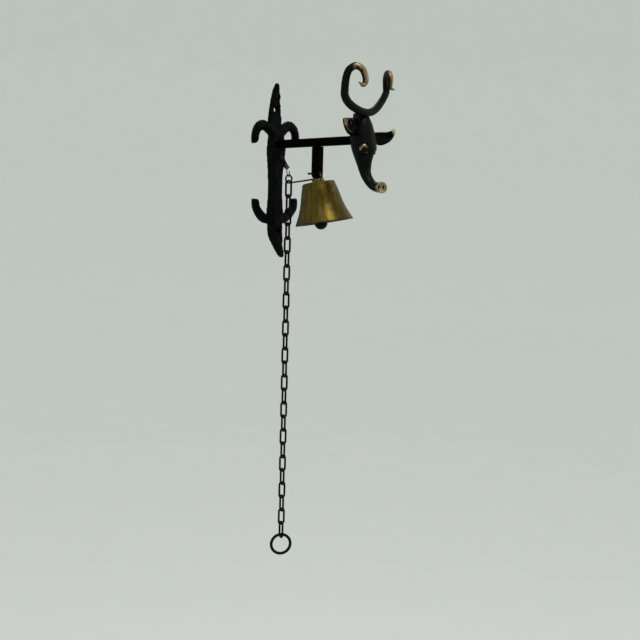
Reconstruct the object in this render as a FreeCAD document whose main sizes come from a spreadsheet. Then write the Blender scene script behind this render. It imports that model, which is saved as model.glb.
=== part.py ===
import FreeCAD, Part
import math
import os
import Sketcher

# Wall mounted bell: a blackened bracket with an antelope-like head, a brass bell that swings on a pin,
# a lever wire held up by a spring, and a pull chain with a ring.  Millimetres.
# Frame: the origin is midway between the two wall-screw holes, on the wall; +Z up, the object is at -Y.

V = FreeCAD.Vector
doc = FreeCAD.newDocument("WallBell")
sheet = doc.addObject("Spreadsheet::Sheet", "Sizes")
SIZES = [
    ("plate_thick", "9.6"),
    ("plate_half", "6.4"),
    ("plate_tip_z", "83.4"),
    ("plate_tail_z", "-84"),
    ("petal_span", "29"),
    ("petal_half", "4.8"),
    ("petal_depth", "3.8"),
    ("screw_z", "58"),
    ("screw_bore", "2.2"),
    ("screw_sink", "3.9"),
    ("arm_high", "7.9"),
    ("arm_wide", "7"),
    ("arm_root_z", "25.2"),
    ("arm_rise", "2.9"),
    ("arm_length", "93.9"),
    ("tenon_r", "2.9"),
    ("post_deep", "9.2"),
    ("post_wide", "6"),
    ("post_y", "-57.4"),
    ("pin_z", "-1.9"),
    ("pin_r", "0.95"),
    ("pin_bore", "1.0"),
    ("foot_r", "4.6"),
    ("slot_wide", "3.4"),
    ("slot_rise", "5.8"),
    ("tongue_wide", "2.8"),
    ("tongue_r", "3.9"),
    ("bell_tilt", "10.4"),
    ("shell_askew", "3.1"),
    ("crown_drop", "7.9"),
    ("bell_tall", "38.4"),
    ("bell_mouth_r", "27.7"),
    ("bell_wall", "2.3"),
    ("rim_wall", "2.9"),
    ("yoke_base_r", "6.3"),
    ("stud_r", "1.6"),
    ("staple_drop", "17"),
    ("staple_mean", "2.6"),
    ("staple_wire", "0.8"),
    ("clapper_lean", "4.7"),
    ("clapper_len", "29.4"),
    ("clapper_eye", "2.2"),
    ("clapper_wire", "0.75"),
    ("clapper_rod_r", "0.95"),
    ("ball_r", "6.2"),
    ("lever_wire_r", "0.8"),
    ("lever_tilt", "8"),
    ("eye_y", "-21.9"),
    ("eye_z", "-7.7"),
    ("eye_mean", "3.8"),
    ("lug_mean", "2.0"),
    ("lug_wire", "0.7"),
    ("spring_wire", "0.45"),
    ("spring_mean", "1.75"),
    ("spring_turns", "10"),
    ("spring_hook", "1.8"),
    ("link_wire", "1.0"),
    ("link_mean", "2.9"),
    ("link_inner", "13.8"),
    ("link_gap", "0.3"),
    ("link_twist", "-18"),
    ("ring_mean", "9.7"),
    ("ring_wire", "1.45"),
    ("ring_twist", "-36"),
    ("horn_bar_r", "3.6"),
    ("horn_span", "31"),
    ("head_half", "11.3"),
    ("ear_thick", "2.8"),
]
for row, (alias, value) in enumerate(SIZES, start=1):
    sheet.set("A%d" % row, alias)
    sheet.set("B%d" % row, value)
    sheet.setAlias("B%d" % row, alias)
doc.recompute()
S = {alias: float(getattr(sheet, alias)) for alias, value in SIZES}
LINKS = 26
OUT = []


def rot(axis, degrees):
    return FreeCAD.Rotation(axis, degrees)


def place(x, y, z, rotation=None):
    return FreeCAD.Placement(V(x, y, z), rotation or FreeCAD.Rotation())


def keep(obj, label):
    obj.Label = label
    OUT.append(obj)
    return obj


def new_body(name, placement):
    body = doc.addObject("PartDesign::Body", name)
    body.Placement = placement
    return body


def plane_of(body, role):
    for feature in body.Origin.OriginFeatures:
        if getattr(feature, "Role", "") == role:
            return feature
    raise ValueError(role)


def sketch_on(body, role, name, geometry):
    sketch = body.newObject("Sketcher::SketchObject", name)
    sketch.AttachmentSupport = [(plane_of(body, role), "")]
    sketch.MapMode = "FlatFace"
    for item in geometry:
        sketch.addGeometry(item, False)
    return sketch


def circle_sketch(body, role, name, x, y, expression):
    sketch = sketch_on(body, role, name, [Part.Circle(V(x, y, 0), V(0, 0, 1), 1.0)])
    sketch.addConstraint(Sketcher.Constraint("Radius", 0, 1.0))
    sketch.setExpression("Constraints[0]", expression)
    return sketch


def lines(points):
    closed = list(points) + [points[0]]
    return [Part.LineSegment(V(a[0], a[1], 0), V(b[0], b[1], 0)) for a, b in zip(closed, closed[1:])]


def spline(points):
    curve = Part.BSplineCurve()
    curve.interpolate([V(p[0], p[1], 0) for p in points])
    return curve


def quarter(start, corner, end):
    """Quarter circle from start to end that rounds off the square corner between them."""
    middle = V(*corner, 0) + (V(*start, 0) + V(*end, 0) - V(*corner, 0) * 2) * (1 - math.sqrt(0.5))
    return Part.Arc(V(*start, 0), middle, V(*end, 0))


def pad(body, sketch, expression, symmetric=False):
    feature = body.newObject("PartDesign::Pad", sketch.Name + "Pad")
    feature.Profile = sketch
    feature.setExpression("Length", expression)
    if symmetric:
        if hasattr(feature, "SideType"):
            feature.SideType = "Symmetric"
        else:
            feature.Midplane = True
    sketch.Visibility = False
    doc.recompute()
    return feature


def pocket(body, sketch, depth):
    feature = body.newObject("PartDesign::Pocket", sketch.Name + "Cut")
    feature.Profile = sketch
    feature.Length = depth
    if hasattr(feature, "SideType"):
        feature.SideType = "Symmetric"
    else:
        feature.Midplane = True
    sketch.Visibility = False
    doc.recompute()
    return feature


def pipe(body, profile, path):
    feature = body.newObject("PartDesign::AdditivePipe", path.Name + "Pipe")
    feature.Profile = profile
    feature.Spine = (path, ["Edge%d" % (k + 1) for k in range(path.GeometryCount)])
    profile.Visibility = False
    path.Visibility = False
    doc.recompute()
    return feature


def boolean(kind, name, base, tool):
    feature = doc.addObject("Part::" + kind, name)
    feature.Base = base
    feature.Tool = tool
    return feature


def fuse(name, shapes):
    feature = doc.addObject("Part::MultiFuse", name)
    feature.Shapes = shapes
    return feature


def cylinder(name, radius, height, placement):
    feature = doc.addObject("Part::Cylinder", name)
    feature.setExpression("Radius", radius)
    feature.setExpression("Height", height)
    feature.Placement = placement
    return feature


def torus(name, mean, wire, placement):
    feature = doc.addObject("Part::Torus", name)
    feature.setExpression("Radius1", mean)
    feature.setExpression("Radius2", wire)
    feature.Placement = placement
    return feature


def limb(name, stations, side):
    """Smooth bar through ellipses: stations are (point, half along side, half across, tangent or None)."""
    points = [st[0] for st in stations]
    sections = []
    for k, (point, half_a, half_b, given) in enumerate(stations):
        ahead = points[min(k + 1, len(points) - 1)]
        behind = points[max(k - 1, 0)]
        tangent = V(given) if given else ahead - behind
        tangent.normalize()
        side = side - tangent * side.dot(tangent)
        side.normalize()
        across = tangent.cross(side)
        section = doc.addObject("Part::Ellipse", "%sSection%d" % (name, k))
        if half_a >= half_b:
            section.MajorRadius = half_a
            section.MinorRadius = half_b
            section.Placement = FreeCAD.Placement(point, FreeCAD.Rotation(side, across, tangent, "ZXY"))
        else:
            section.MajorRadius = half_b
            section.MinorRadius = half_a
            section.Placement = FreeCAD.Placement(point, FreeCAD.Rotation(across, side * -1, tangent, "ZXY"))
        section.Visibility = False
        sections.append(section)
    loft = doc.addObject("Part::Loft", name)
    loft.Sections = sections
    loft.Solid = True
    loft.Ruled = False
    return loft


# ---------------------------------------------------------------- arm bar
AXIS_X = V(1, 0, 0)
AXIS_Y = V(0, 1, 0)
AXIS_Z = V(0, 0, 1)
rise = S["arm_rise"]
arm_place = place(0, -S["plate_thick"], S["arm_root_z"], rot(AXIS_X, -rise))


def arm_bar(name):
    body = new_body(name, arm_place)
    half_w = S["arm_wide"] / 2
    half_h = S["arm_high"] / 2
    outline = lines([(-half_w, -half_h), (half_w, -half_h), (half_w, half_h), (-half_w, half_h)])
    pad(body, sketch_on(body, "XZ_Plane", name + "Section", outline), "Sizes.arm_length")
    edges = doc.getObject(body.Tip.Name)
    names = []
    for index, edge in enumerate(edges.Shape.Edges, start=1):
        box = edge.BoundBox
        if box.YLength > 50:
            names.append("Edge%d" % index)
    chamfer = body.newObject("PartDesign::Chamfer", name + "Chamfer")
    chamfer.Base = (edges, names)
    chamfer.Size = 0.7
    doc.recompute()
    tenon = circle_sketch(body, "XZ_Plane", name + "Tenon", 0, 0, "Sizes.tenon_r")
    tenon_pad = body.newObject("PartDesign::Pad", name + "TenonPad")
    tenon_pad.Profile = tenon
    tenon_pad.Reversed = True
    tenon_pad.setExpression("Length", "Sizes.plate_thick - 0.7")
    tenon.Visibility = False
    doc.recompute()
    return body


arm_raw = arm_bar("ArmBar")

# ---------------------------------------------------------------- drop post
post_top = S["arm_root_z"] - S["post_y"] * math.tan(math.radians(rise)) - 0.35
post_under = post_top - S["arm_high"] / 2
post = new_body("DropPost", place(0, S["post_y"], S["pin_z"]))
half_d = S["post_deep"] / 2
head_room = post_under - S["pin_z"] - 0.4
slope = math.tan(math.radians(rise))
post_profile = [
    Part.LineSegment(V(half_d, 0, 0), V(half_d, head_room - slope * half_d, 0)),
    Part.LineSegment(V(half_d, head_room - slope * half_d, 0), V(-half_d, head_room + slope * half_d, 0)),
    Part.LineSegment(V(-half_d, head_room + slope * half_d, 0), V(-half_d, 0, 0)),
    Part.Arc(V(-half_d, 0, 0), V(0, -half_d, 0), V(half_d, 0, 0)),
]
pad(post, sketch_on(post, "YZ_Plane", "PostSide", post_profile), "Sizes.post_wide", True)
slot_half = S["slot_wide"] / 2
slot_top = S["slot_rise"]
slot_shape = lines([(-slot_half, -10), (slot_half, -10), (slot_half, slot_top), (-slot_half, slot_top)])
pocket(post, sketch_on(post, "XZ_Plane", "PostSlot", slot_shape), 30)
pocket(post, circle_sketch(post, "YZ_Plane", "PostBore", 0, 0, "Sizes.pin_bore"), 30)
post_tenon = cylinder("PostTenon", "2.2 mm", "6 mm", place(0, S["post_y"], post_under - 1.0))
post_whole = keep(fuse("PostWhole", [post, post_tenon]), "drop_post")

# ---------------------------------------------------------------- wall plate
tip = S["plate_tip_z"]
tail = S["plate_tail_z"]
wide = S["plate_half"]
outline_right = [
    (0.0, tip), (1.6, tip - 0.8), (2.5, tip - 3.2), (3.4, tip - 9), (5.0, tip - 17), (6.6, tip - 25),
    (7.7, tip - 32), (7.7, tip - 39), (7.2, tip - 45), (wide + 1.2, 30), (wide + 2.2, 21),
    (wide + 2.1, 15), (wide + 1.0, 6), (wide, -6), (wide - 0.5, -20), (wide, -30), (wide + 0.8, -38),
    (wide + 0.8, -46), (wide - 0.4, -54), (5.4, -61), (4.7, -68), (3.7, -75), (2.7, tail + 2.0), (0.0, tail),
]
outline_left = [(-x, z) for x, z in reversed(outline_right)]
plate_outline = [spline(outline_right), spline(outline_left)]
plate_core = new_body("PlateCore", place(0, 0, 0))
core_sketch = sketch_on(plate_core, "XZ_Plane", "PlateOutline", plate_outline)
pad(plate_core, core_sketch, "20 mm")
thick = S["plate_thick"]
OFF_FRONT = -40
OFF_BACK = 20


def side_cut(curve_points, beyond):
    """Everything between a side-view curve, given as (y, z) from one end to the other, and y = beyond."""
    first = curve_points[0]
    last = curve_points[-1]
    return [
        spline(curve_points),
        Part.LineSegment(V(last[0], last[1], 0), V(beyond, last[1], 0)),
        Part.LineSegment(V(beyond, last[1], 0), V(beyond, first[1], 0)),
        Part.LineSegment(V(beyond, first[1], 0), V(first[0], first[1], 0)),
    ]


front_curve = [
    (-5.2, tip + 1), (-5.9, tip - 4), (-6.0, tip - 10), (-5.1, tip - 18), (-4.3, tip - 26), (-4.3, tip - 34),
    (-5.8, tip - 42), (-8.0, tip - 48), (-thick, 29), (-thick, 15), (-thick, -46), (-10.0, -56),
    (-11.0, -63), (-12.6, -71), (-15.0, -80), (-16.2, tail - 1),
]
front_cut = side_cut(front_curve, OFF_FRONT)
back_cut = side_cut([(0, -61), (-1.2, -65), (-4.2, -71), (-8.2, -77), (-13.2, tail - 1)], OFF_BACK)
tip_back_cut = side_cut([(0, 68), (-0.5, 73), (-1.4, 78), (-2.6, tip + 1)], OFF_BACK)
pocket(plate_core, sketch_on(plate_core, "YZ_Plane", "PlateFront", front_cut), 60)
pocket(plate_core, sketch_on(plate_core, "YZ_Plane", "PlateBack", back_cut), 60)
pocket(plate_core, sketch_on(plate_core, "YZ_Plane", "TipBack", tip_back_cut), 60)


def curl(name, sign, stations, reach, lift):
    """One petal or arm of the plate, from the middle outwards; lift is its gap from the wall."""
    half = S["petal_half"]
    deep = S["petal_depth"]
    made = []
    for across, up, scale_half, scale_deep, tangent in stations:
        point = V(sign * across * reach, -deep * scale_deep - lift, up)
        direction = V(sign * tangent[0], 0, tangent[1]) if tangent else None
        made.append((point, deep * scale_deep, half * scale_half, direction))
    return limb(name, made, V(0, -1, 0))


PETAL = [
    (0.06, 29.0, 0.80, 1.28, (0.5, 0.9)), (0.20, 35.5, 1.02, 1.22, None), (0.43, 41.0, 1.08, 1.08, None),
    (0.69, 42.8, 1.06, 1.0, None), (0.90, 39.6, 0.98, 1.0, None), (0.985, 33.6, 0.90, 0.98, None),
    (1.0, 29.0, 0.82, 0.90, None), (1.0, 26.2, 0.58, 0.66, (0, -1)), (0.995, 25.3, 0.25, 0.3, (0, -1)),
]
LOWER = [
    (0.06, -47.8, 0.95, 1.18, (1, 0.02)), (0.28, -47.6, 1.02, 1.10, None), (0.54, -45.8, 1.02, 1.0, None),
    (0.79, -41.6, 0.98, 1.0, None), (0.95, -35.8, 0.92, 1.0, None), (0.995, -30.6, 0.88, 0.97, None),
    (1.0, -28.0, 0.80, 0.88, (0, 1)), (1.0, -27.1, 0.45, 0.5, (0, 1)),
]
curls = []
for mark, sign in (("Left", -1), ("Right", 1)):
    curls.append(curl("Petal" + mark, sign, PETAL, S["petal_span"], 0.02))
    curls.append(curl("Lower" + mark, sign, LOWER, S["petal_span"] - 1.2, 0.8))
plate_fused = fuse("PlateFused", [plate_core] + curls)
holes = []
for mark, z, front_y in (("Top", S["screw_z"], 4.3), ("Bottom", -S["screw_z"], 10.2)):
    bore = cylinder("Bore" + mark, "Sizes.screw_bore", "40 mm", place(0, 10, z, rot(AXIS_X, 90)))
    sink = doc.addObject("Part::Cone", "Sink" + mark)
    sink.setExpression("Radius1", "Sizes.screw_bore")
    sink.setExpression("Radius2", "Sizes.screw_sink + 3.4")
    sink.setExpression("Height", "Sizes.screw_sink - Sizes.screw_bore + 3.4")
    sink.Placement = place(0, -front_y + S["screw_sink"] - S["screw_bore"], z, rot(AXIS_X, 90))
    holes.extend([bore, sink])
lug_y = -S["plate_thick"] - 3.4
lug_z = 17.6
lug_stem = cylinder("LugStem", "Sizes.lug_wire - 0.06", "5.4 mm",
                    place(0, -S["plate_thick"] + 3.6, lug_z, rot(AXIS_X, 90)))
lug_ring = torus("LugRing", "Sizes.lug_mean", "Sizes.lug_wire", place(0, lug_y, lug_z, rot(AXIS_Y, 90)))
lug = keep(fuse("LugWhole", [lug_stem, lug_ring]), "spring_lug")
plate_tools = fuse("PlateTools", holes + [arm_raw, lug])
keep(boolean("Cut", "PlateWhole", plate_fused, plate_tools), "wall_plate")
keep(boolean("Cut", "ArmWhole", arm_raw, post_whole), "arm_bar")

# ---------------------------------------------------------------- horns, one bent rod
span = S["horn_span"]
bar = S["horn_bar_r"]
HORN_LEFT = [
    (0.42, -114.2, 56.8, 1.03), (0.80, -113.4, 62.0, 1.05), (0.965, -112.8, 68.1, 1.03),
    (0.975, -112.6, 74.0, 1.0), (0.97, -113.2, 82.0, 0.97), (0.97, -115.0, 88.3, 0.94),
    (0.94, -117.5, 92.2, 0.92), (0.82, -120.9, 94.6, 0.90), (0.70, -125.0, 91.8, 0.86),
    (0.66, -127.4, 86.2, 0.82), (0.65, -127.9, 81.9, 0.76), (0.675, -127.4, 79.0, 0.66),
    (0.74, -127.1, 77.9, 0.52), (0.815, -126.8, 78.7, 0.34), (0.90, -126.5, 80.1, 0.14),
]
HORN_RIGHT = [
    (0.40, -114.2, 57.8, 1.0), (0.76, -113.2, 66.1, 0.94), (0.98, -112.7, 74.4, 0.90),
    (0.95, -113.3, 80.1, 0.88), (0.85, -115.3, 85.6, 0.86), (0.71, -119.3, 89.8, 0.85),
    (0.62, -123.2, 91.0, 0.84), (0.56, -126.3, 88.2, 0.82), (0.54, -127.3, 83.5, 0.76),
    (0.555, -126.9, 79.7, 0.64), (0.63, -126.3, 77.6, 0.46), (0.73, -126.1, 76.8, 0.30),
    (0.83, -126.0, 76.5, 0.14),
]


def horn_side(sign, rows):
    return [(V(sign * across * span, y, z), bar * size, bar * size, None) for across, y, z, size in rows]


middle = [(V(0, -114.6, 54.7), bar, bar, None)]
horn_stations = list(reversed(horn_side(-1, HORN_LEFT))) + middle + horn_side(1, HORN_RIGHT)
horns = keep(limb("Horns", horn_stations, V(0, 1, 0)), "horns")

# ---------------------------------------------------------------- head
SPINE = [
    (-107.6, 54.4, 5.2, 7.8), (-108.0, 50.0, 6.6, 8.4), (-108.8, 44.5, 8.9, 10.0), (-109.8, 36.5, 10.8, 11.6),
    (-111.2, 28.5, 11.3, 11.9), (-112.4, 20.5, 10.3, 11.0), (-112.8, 13.5, 8.2, 8.6), (-113.8, 6.0, 6.4, 6.2),
    (-115.9, -1.3, 5.4, 4.7), (-119.9, -7.0, 5.2, 4.1), (-125.0, -10.9, 5.5, 4.2), (-130.6, -12.1, 6.6, 4.8),
    (-135.0, -12.4, 7.5, 5.2),
]
scale = S["head_half"] / 11.3
head_stations = [(V(0, y, z), a * scale, b * scale, None) for y, z, a, b in SPINE]
head_stations[-1] = head_stations[-1][:3] + ((0, -1, 0.03),)
skull = limb("Skull", head_stations, AXIS_X)
eyes = []
for mark, sign in (("Left", -1), ("Right", 1)):
    lid = torus("Lid" + mark, "3.1 mm", "1.5 mm",
                place(sign * 8.4, -119.2, 21.6, FreeCAD.Rotation(V(0, 0, 1), V(sign * 0.62, -0.78, 0.1))))
    ball = doc.addObject("Part::Sphere", "EyeBall" + mark)
    ball.Radius = 2.6
    ball.Placement = place(sign * 7.6, -118.0, 21.6)
    eyes.extend([lid, ball])
nostrils = []
for mark, sign in (("Left", -1), ("Right", 1)):
    nostril_place = place(sign * 3.5, -131.2, -12.2, rot(AXIS_X, 90))
    nostrils.append(cylinder("Nostril" + mark, "1.25 mm", "6 mm", nostril_place))

# ---------------------------------------------------------------- ears
EAR_LEFT = [
    (-5.0, -108.0, 41.2, 7.4, 0.90), (-14.8, -110.8, 41.5, 8.0, 1.0), (-23.1, -113.4, 41.9, 7.6, 1.0),
    (-29.5, -115.6, 43.6, 5.8, 0.95), (-34.0, -117.2, 45.6, 3.6, 0.75), (-36.8, -118.2, 47.3, 1.6, 0.50),
    (-37.9, -118.6, 48.0, 0.5, 0.20),
]
EAR_RIGHT = [
    (7.0, -109.5, 31.5, 5.7, 0.92), (13.5, -111.0, 31.6, 6.0, 0.95), (21.5, -113.0, 31.9, 6.2, 1.0),
    (28.0, -115.0, 32.8, 5.6, 1.0), (32.6, -116.7, 34.9, 4.3, 0.95), (36.1, -117.8, 37.9, 2.6, 0.75),
    (37.4, -118.4, 40.3, 1.3, 0.50), (37.7, -118.7, 41.7, 0.45, 0.20),
]


def ear(name, rows, centre, turn):
    """A thick leaf with a hollow on its front; centre and turn place the ellipsoid that hollows it."""
    stations = [(V(x, y, z), half, S["ear_thick"] * thin, None) for x, y, z, half, thin in rows]
    blade = limb(name + "Blade", stations, AXIS_Z)
    hollow = doc.addObject("Part::Ellipsoid", name + "Hollow")
    hollow.Radius1 = 2.9
    hollow.Radius2 = 12.0
    hollow.Radius3 = centre[3]
    hollow.Placement = FreeCAD.Placement(V(*centre[:3]), turn)
    return boolean("Cut", name, blade, hollow)


turn_left = FreeCAD.Rotation(V(-1, -0.28, 0.10), V(0.1, 0, 1), V(0, -1, 0), "XZY")
turn_right = FreeCAD.Rotation(V(1, -0.28, 0.14), V(-0.1, 0, 1), V(0, -1, 0), "XZY")
ear_left = keep(ear("EarLeft", EAR_LEFT, (-21.6, -116.0, 42.8, 5.6), turn_left), "ear_left")
ear_right = keep(ear("EarRight", EAR_RIGHT, (22.6, -116.1, 32.9, 4.5), turn_right), "ear_right")
head_full = fuse("HeadFull", [skull] + eyes)
head_tools = fuse("HeadTools", [arm_raw, horns, ear_left, ear_right] + nostrils)
keep(boolean("Cut", "HeadWhole", head_full, head_tools), "head")

# ---------------------------------------------------------------- pivot pin with a bent-over end
pin = new_body("PivotPin", place(0, S["post_y"], S["pin_z"]))
side_x = S["post_wide"] / 2
pin_bend = 1.3
stub_x = -side_x - 0.5 - pin_bend
pin_path = sketch_on(pin, "XY_Plane", "PinPath", [
    Part.LineSegment(V(side_x + 0.9, 0, 0), V(stub_x + pin_bend, 0, 0)),
    quarter((stub_x + pin_bend, 0), (stub_x, 0), (stub_x, pin_bend)),
    Part.LineSegment(V(stub_x, pin_bend, 0), V(stub_x, 7.0, 0)),
])
pin_round = circle_sketch(pin, "YZ_Plane", "PinRound", 0, 0, "Sizes.pin_r")
pin_round.AttachmentOffset = place(0, 0, side_x + 0.9)
pipe(pin, pin_round, pin_path)
pin_head = cylinder("PinHead", "1.8 mm", "0.9 mm",
                    place(side_x + 0.35, S["post_y"], S["pin_z"], rot(AXIS_Y, 90)))
keep(fuse("PinWhole", [pin, pin_head]), "pivot_pin")

# ---------------------------------------------------------------- bell, yoke and lever wire
tilt = rot(AXIS_X, -S["bell_tilt"])
bell_place = place(0, S["post_y"], S["pin_z"], tilt)
askew = tilt.multiply(rot(AXIS_Y, -S["shell_askew"]))
shell_place = place(0, S["post_y"], S["pin_z"], askew)


def bell_point(down):
    return shell_place.multVec(V(0, 0, -down))


drop = S["crown_drop"]
mouth = S["bell_mouth_r"]
rim_z = -(drop + S["bell_tall"])
wall = S["bell_wall"]
OUTER = [
    (0.570, 0.075), (0.616, 0.18), (0.658, 0.30), (0.704, 0.44),
    (0.757, 0.58), (0.836, 0.74), (0.932, 0.89), (1.0, 1.0),
]
outer = [(mouth * a, -drop - S["bell_tall"] * b) for a, b in OUTER]
inner = []
for k, (r, z) in enumerate(outer):
    inset = wall + (S["rim_wall"] - wall) * (k / (len(outer) - 1)) ** 3
    inner.append((r - inset, z + (0.0 if k == len(outer) - 1 else -0.35)))
crown_r = outer[0][0] - 2.2
top_z = -drop
under_z = -drop - wall
bell_profile = [
    Part.LineSegment(V(S["stud_r"], top_z, 0), V(crown_r, top_z, 0)),
    spline([(crown_r, top_z), (crown_r + 1.55, top_z - 0.75), outer[0]]),
    spline(outer),
    Part.LineSegment(V(outer[-1][0], outer[-1][1], 0), V(inner[-1][0], inner[-1][1], 0)),
    spline(list(reversed(inner))),
    Part.LineSegment(V(inner[0][0], inner[0][1], 0), V(inner[0][0] - 1.4, under_z, 0)),
    Part.LineSegment(V(inner[0][0] - 1.4, under_z, 0), V(S["stud_r"], under_z, 0)),
    Part.LineSegment(V(S["stud_r"], under_z, 0), V(S["stud_r"], top_z, 0)),
]
bell = new_body("BellShell", shell_place)
bell_sketch = sketch_on(bell, "XZ_Plane", "BellProfile", bell_profile)
turned = bell.newObject("PartDesign::Revolution", "BellTurned")
turned.Profile = bell_sketch
turned.ReferenceAxis = (bell_sketch, ["V_Axis"])
turned.Angle = 360
bell_sketch.Visibility = False
doc.recompute()
keep(bell, "bell_shell")

yoke = new_body("YokeTongue", bell_place)
base_r = S["yoke_base_r"]
tongue_r = S["tongue_r"]
base_top = -(S["foot_r"] + 0.5)
foot_z = top_z + 0.6
tongue = [
    Part.Arc(V(tongue_r, 0, 0), V(0, tongue_r, 0), V(-tongue_r, 0, 0)),
    spline([(-tongue_r, 0), (-tongue_r - 0.35, -2.2), (-tongue_r - 1.9, base_top)]),
    Part.LineSegment(V(-tongue_r - 1.9, base_top, 0), V(-tongue_r - 1.9, foot_z, 0)),
    Part.LineSegment(V(-tongue_r - 1.9, foot_z, 0), V(tongue_r + 1.9, foot_z, 0)),
    Part.LineSegment(V(tongue_r + 1.9, foot_z, 0), V(tongue_r + 1.9, base_top, 0)),
    spline([(tongue_r + 1.9, base_top), (tongue_r + 0.35, -2.2), (tongue_r, 0)]),
]
pad(yoke, sketch_on(yoke, "YZ_Plane", "TongueSide", tongue), "Sizes.tongue_wide", True)
yoke_base = doc.addObject("Part::Cone", "YokeBase")
yoke_base.setExpression("Radius1", "Sizes.yoke_base_r")
yoke_base.setExpression("Radius2", "Sizes.yoke_base_r - 0.7")
yoke_base.Height = drop + base_top
yoke_base.Placement = FreeCAD.Placement(bell_point(drop), askew)
pin_bore = cylinder("YokeBore", "Sizes.pin_bore + 0.02", "20 mm",
                    place(-10, S["post_y"], S["pin_z"], rot(AXIS_Y, 90)))

lever_rot = rot(AXIS_X, -S["lever_tilt"])
lever_place = place(0, S["eye_y"], S["eye_z"], lever_rot)
lever = new_body("LeverWire", lever_place)
eye_r = S["eye_mean"]
reach = (S["eye_y"] - S["post_y"]) / math.cos(math.radians(S["lever_tilt"]))
front = -reach - 4.2
bend = 1.6
upturn = 4.2
end_angle = math.radians(-90 + 312)
wire_path = sketch_on(lever, "YZ_Plane", "LeverPath", [
    Part.LineSegment(V(front - bend, -eye_r + bend + upturn, 0), V(front - bend, -eye_r + bend, 0)),
    quarter((front - bend, -eye_r + bend), (front - bend, -eye_r), (front, -eye_r)),
    Part.LineSegment(V(front, -eye_r, 0), V(0, -eye_r, 0)),
    Part.Arc(V(0, -eye_r, 0), V(eye_r * math.cos(math.radians(66)), eye_r * math.sin(math.radians(66)), 0),
             V(eye_r * math.cos(end_angle), eye_r * math.sin(end_angle), 0)),
])
wire_round = circle_sketch(lever, "XY_Plane", "LeverRound", 0, front - bend, "Sizes.lever_wire_r")
wire_round.AttachmentOffset = place(0, 0, -eye_r + bend + upturn)
pipe(lever, wire_round, wire_path)
keep(lever, "lever_wire")
stud_hole = cylinder("StudHole", "Sizes.stud_r", "2.4 mm", FreeCAD.Placement(bell_point(drop), askew))
yoke_full = fuse("YokeFull", [yoke, yoke_base])
yoke_tools = fuse("YokeTools", [pin_bore, lever, stud_hole])
keep(boolean("Cut", "YokeWhole", yoke_full, yoke_tools), "bell_yoke")

# ---------------------------------------------------------------- clapper
stud = cylinder("Stud", "Sizes.stud_r", "Sizes.bell_wall + 2.3",
                FreeCAD.Placement(bell_point(drop + wall), askew))
collar = cylinder("Collar", "3.1 mm", "0.9 mm", FreeCAD.Placement(bell_point(drop + wall + 0.9), askew))
ring_drop = S["staple_drop"] - S["staple_mean"]
staple_ring = torus("StapleRing", "Sizes.staple_mean", "Sizes.staple_wire",
                    FreeCAD.Placement(bell_point(ring_drop), tilt.multiply(rot(AXIS_X, 90))))
keep(fuse("StapleWhole", [stud, collar, staple_ring]), "clapper_staple")

pivot = bell_point(S["staple_drop"])
lean = rot(AXIS_X, -S["clapper_lean"])
clapper_place = FreeCAD.Placement(pivot, lean)


def clapper_point(down):
    return clapper_place.multVec(V(0, 0, -down))


eye_drop = S["clapper_eye"] - (S["staple_wire"] + 0.3 + S["clapper_wire"])
clapper_eye = torus("ClapperEye", "Sizes.clapper_eye", "Sizes.clapper_wire",
                    FreeCAD.Placement(clapper_point(eye_drop), lean.multiply(rot(AXIS_Y, 90))))
rod_top = eye_drop + S["clapper_eye"]
rod_end = S["clapper_len"] + 2.0
rod = cylinder("Rod", "Sizes.clapper_rod_r", "%f mm" % (rod_end - rod_top),
               FreeCAD.Placement(clapper_point(rod_end), lean))
rod_whole = keep(fuse("RodWhole", [clapper_eye, rod]), "clapper_rod")
ball = doc.addObject("Part::Sphere", "Ball")
ball.setExpression("Radius", "Sizes.ball_r")
ball.Placement = FreeCAD.Placement(clapper_point(S["clapper_len"]), lean)
keep(boolean("Cut", "BallWhole", ball, rod_whole), "clapper_ball")

# ---------------------------------------------------------------- chain and pull ring
link_r = S["link_wire"]
bend_r = S["link_mean"]
half_inner = S["link_inner"] / 2
straight = half_inner + link_r - bend_r
pitch = S["link_inner"] - S["link_gap"]
first_z = S["eye_z"] - (eye_r - S["lever_wire_r"]) + S["link_gap"] + link_r - (half_inner + link_r)
for k in range(LINKS):
    name = "Link%02d" % (k + 1)
    angle = S["link_twist"] - (90 if k % 2 else 0)
    link = new_body(name, place(0, S["eye_y"], first_z - pitch * k, rot(AXIS_Z, angle)))
    path = sketch_on(link, "XZ_Plane", name + "Path", [
        Part.LineSegment(V(bend_r, 0, 0), V(bend_r, straight, 0)),
        Part.Arc(V(bend_r, straight, 0), V(0, straight + bend_r, 0), V(-bend_r, straight, 0)),
        Part.LineSegment(V(-bend_r, straight, 0), V(-bend_r, -straight, 0)),
        Part.Arc(V(-bend_r, -straight, 0), V(0, -straight - bend_r, 0), V(bend_r, -straight, 0)),
        Part.LineSegment(V(bend_r, -straight, 0), V(bend_r, 0, 0)),
    ])
    section = circle_sketch(link, "XY_Plane", name + "Round", bend_r, 0, "Sizes.link_wire")
    pipe(link, section, path)
    keep(link, "chain_link_%02d" % (k + 1))
last_z = first_z - pitch * (LINKS - 1)
hang = last_z - half_inner - link_r
ring_z = hang + link_r + S["link_gap"] + S["ring_wire"] - S["ring_mean"]
ring_rot = rot(AXIS_Z, S["ring_twist"]).multiply(rot(AXIS_X, 90))
ring_place = place(0, S["eye_y"], ring_z, ring_rot)
keep(torus("PullRing", "Sizes.ring_mean", "Sizes.ring_wire", ring_place), "pull_ring")

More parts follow.
